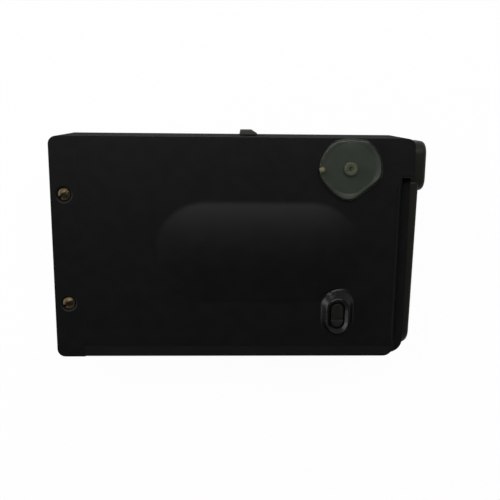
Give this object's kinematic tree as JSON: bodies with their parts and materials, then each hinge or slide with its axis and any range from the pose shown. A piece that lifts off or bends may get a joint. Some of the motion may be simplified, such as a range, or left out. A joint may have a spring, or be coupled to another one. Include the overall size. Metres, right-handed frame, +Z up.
{
  "type": "wireless flash trigger",
  "caption": "Flat black wireless flash trigger on a camera-shoe foot, with a folding side antenna, clear sensor lens, hooded test key, power slide and sync socket.",
  "frame": {"origin": "middle of the shoe foot's underside", "axes": "+X along the housing towards the antenna, +Y across it towards the power slide, the way the foot goes into a shoe, +Z up out of the front face"},
  "size_m": [0.0846, 0.0534, 0.0317],
  "materials": {
    "shell_plastic": "fine moulded texture",
    "panel_plastic": "fine moulded texture",
    "antenna_plastic": "satin",
    "knob_plastic": "satin",
    "key_rubber": "matt",
    "seal_rubber": "matt",
    "inner_plastic": "matt",
    "lens_clear": "clear, polished",
    "lamp_clear": "clear, warm tint",
    "brass": "worn",
    "steel": "satin",
    "bright_steel": "plated",
    "foot_steel": "brushed",
    "wheel_metal": "black anodised",
    "clamp_metal": "black anodised",
    "board_green": "lacquered",
    "chip_black": "matt",
    "cap_sleeve": "shrink sleeve",
    "cell_sleeve": "printed sleeve, bare",
    "plunger_white": "plain"
  },
  "bodies": {
    "housing": {"rear_shell": "shell_plastic", "front_panel": "panel_plastic", "end_bar": "panel_plastic", "bar_screws": "brass", "sensor_lens": "lens_clear", "lens_gasket": "seal_rubber", "lens_ring": "inner_plastic", "sensor_lamp": "lamp_clear", "lamp_spacer": "inner_plastic", "tact_switch": "chip_black", "switch_body": "steel", "pivot_washer": "steel", "antenna_contact": "brass", "main_board": "board_green", "board_screws": "steel", "radio_can": "bright_steel", "control_chip": "chip_black", "crystal_can": "bright_steel", "capacitor": "cap_sleeve", "thyristor": "chip_black", "battery_tray": "inner_plastic", "battery_cells": "cell_sleeve", "battery_contacts": "bright_steel", "sync_socket": "inner_plastic", "socket_nut": "bright_steel", "foot_plate": "foot_steel", "foot_screws": "steel", "contact_spring": "steel"},
    "key": {"test_button": "key_rubber", "tact_plunger": "plunger_white"},
    "power_slide": {"power_knob": "knob_plastic", "switch_lever": "inner_plastic"},
    "antenna": {"antenna_blade": "antenna_plastic", "antenna_element": "brass", "antenna_pivot": "bright_steel", "pivot_clip": "steel"},
    "wheel": {"lock_wheel": "wheel_metal"},
    "clamp": {"clamp_plate": "clamp_metal"},
    "contact": {"contact_pin": "brass"}
  },
  "joints": [
    {"name": "key_press", "type": "slide", "parent": "housing", "child": "key", "axis": [0, 0, -1], "range_m": [0, 0.0005], "stiffness_N_per_m": 1500},
    {"name": "power_slide_travel", "type": "slide", "parent": "housing", "child": "power_slide", "axis": [1, 0, 0], "range_m": [0, 0.002]},
    {"name": "antenna_fold", "type": "hinge", "parent": "housing", "child": "antenna", "pos_m": [0.0404, 0.0185, 0.0177], "axis": [-1, 0, 0], "range_deg": [0, 180]},
    {"name": "wheel_turn", "type": "hinge", "parent": "housing", "child": "wheel", "pos_m": [0, 0, 0.0072], "axis": [0, 0, 1], "range_deg": [0, 270]},
    {"name": "clamp_close", "type": "slide", "parent": "housing", "child": "clamp", "axis": [0, 0, -1], "range_m": [0, 0.0008]},
    {"name": "contact_press", "type": "slide", "parent": "housing", "child": "contact", "axis": [0, 0, 1], "range_m": [0, 0.0005], "stiffness_N_per_m": 300, "deforming": ["contact_spring"]}
  ],
  "couplings": [
    {"joint": "clamp_close", "follows": "wheel_turn", "m_per_rad": 0.00016976}
  ]
}
